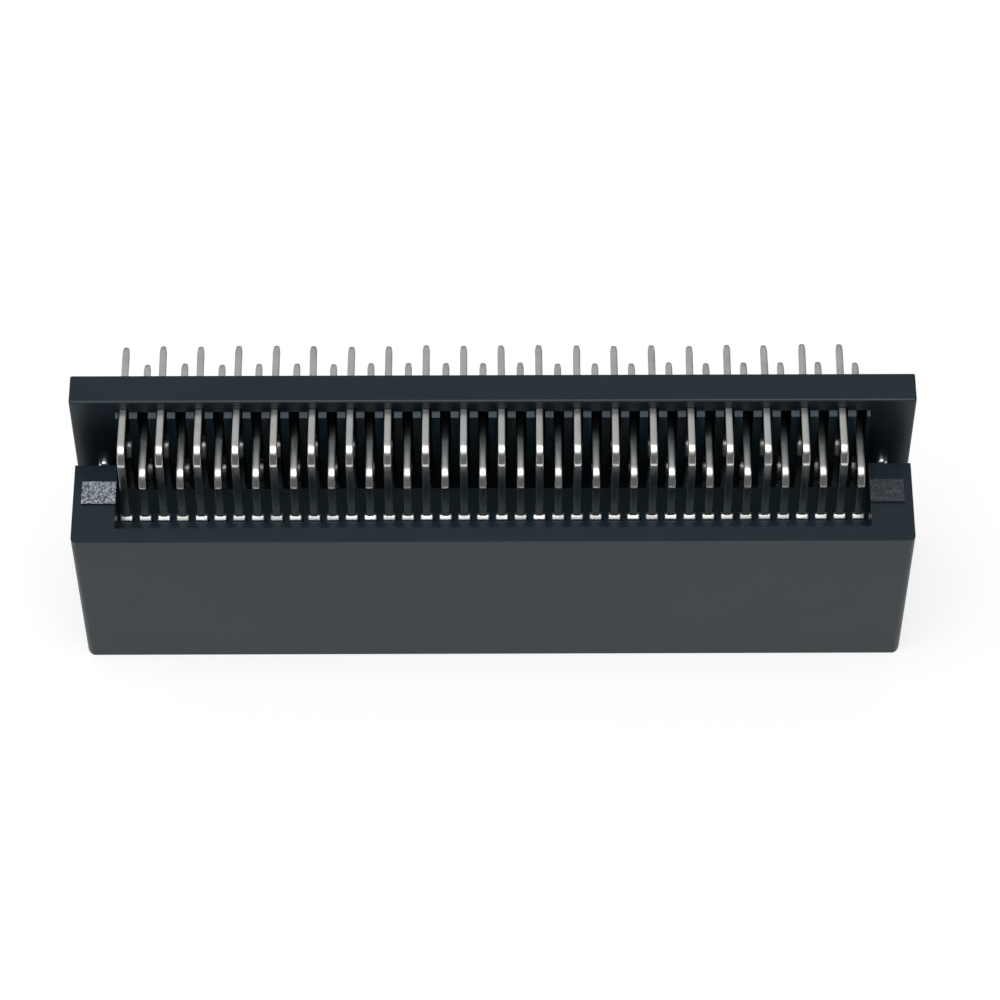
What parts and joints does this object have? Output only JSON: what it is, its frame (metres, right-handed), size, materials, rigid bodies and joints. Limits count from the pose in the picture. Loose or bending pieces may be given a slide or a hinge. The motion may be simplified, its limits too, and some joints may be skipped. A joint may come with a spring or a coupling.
{
  "type": "card edge connector",
  "caption": "Right-angle through-hole card edge connector: a black moulded housing with a long card slot, rows of sprung tin-plated contacts and a locator plate round their bent tails.",
  "frame": {"origin": "under the middle of the whole part, in the plane of the slot's mouth", "axes": "+X along the rows of contacts, +Y towards the circuit board that the tails are soldered to, +Z from the slot's mouth up to the tails"},
  "size_m": [0.0568, 0.014, 0.0181],
  "materials": {
    "black_moulding": "satin black moulding",
    "tin": "bright tin plating"
  },
  "bodies": {
    "root": {"housing": "black_moulding", "tail_locator": "black_moulding", "upper_contact_01": "tin", "upper_contact_02": "tin", "upper_contact_03": "tin", "upper_contact_04": "tin", "upper_contact_05": "tin", "upper_contact_06": "tin", "upper_contact_07": "tin", "upper_contact_08": "tin", "upper_contact_09": "tin", "upper_contact_10": "tin", "upper_contact_11": "tin", "upper_contact_12": "tin", "upper_contact_13": "tin", "upper_contact_14": "tin", "upper_contact_15": "tin", "upper_contact_16": "tin", "upper_contact_17": "tin", "upper_contact_18": "tin", "upper_contact_19": "tin", "upper_contact_20": "tin", "upper_contact_21": "tin", "upper_contact_22": "tin", "upper_contact_23": "tin", "upper_contact_24": "tin", "upper_contact_25": "tin", "upper_contact_26": "tin", "upper_contact_27": "tin", "upper_contact_28": "tin", "upper_contact_29": "tin", "upper_contact_30": "tin", "upper_contact_31": "tin", "upper_contact_32": "tin", "upper_contact_33": "tin", "upper_contact_34": "tin", "upper_contact_35": "tin", "upper_contact_36": "tin", "upper_contact_37": "tin", "upper_contact_38": "tin", "upper_contact_39": "tin", "upper_contact_40": "tin"}
  },
  "joints": []
}
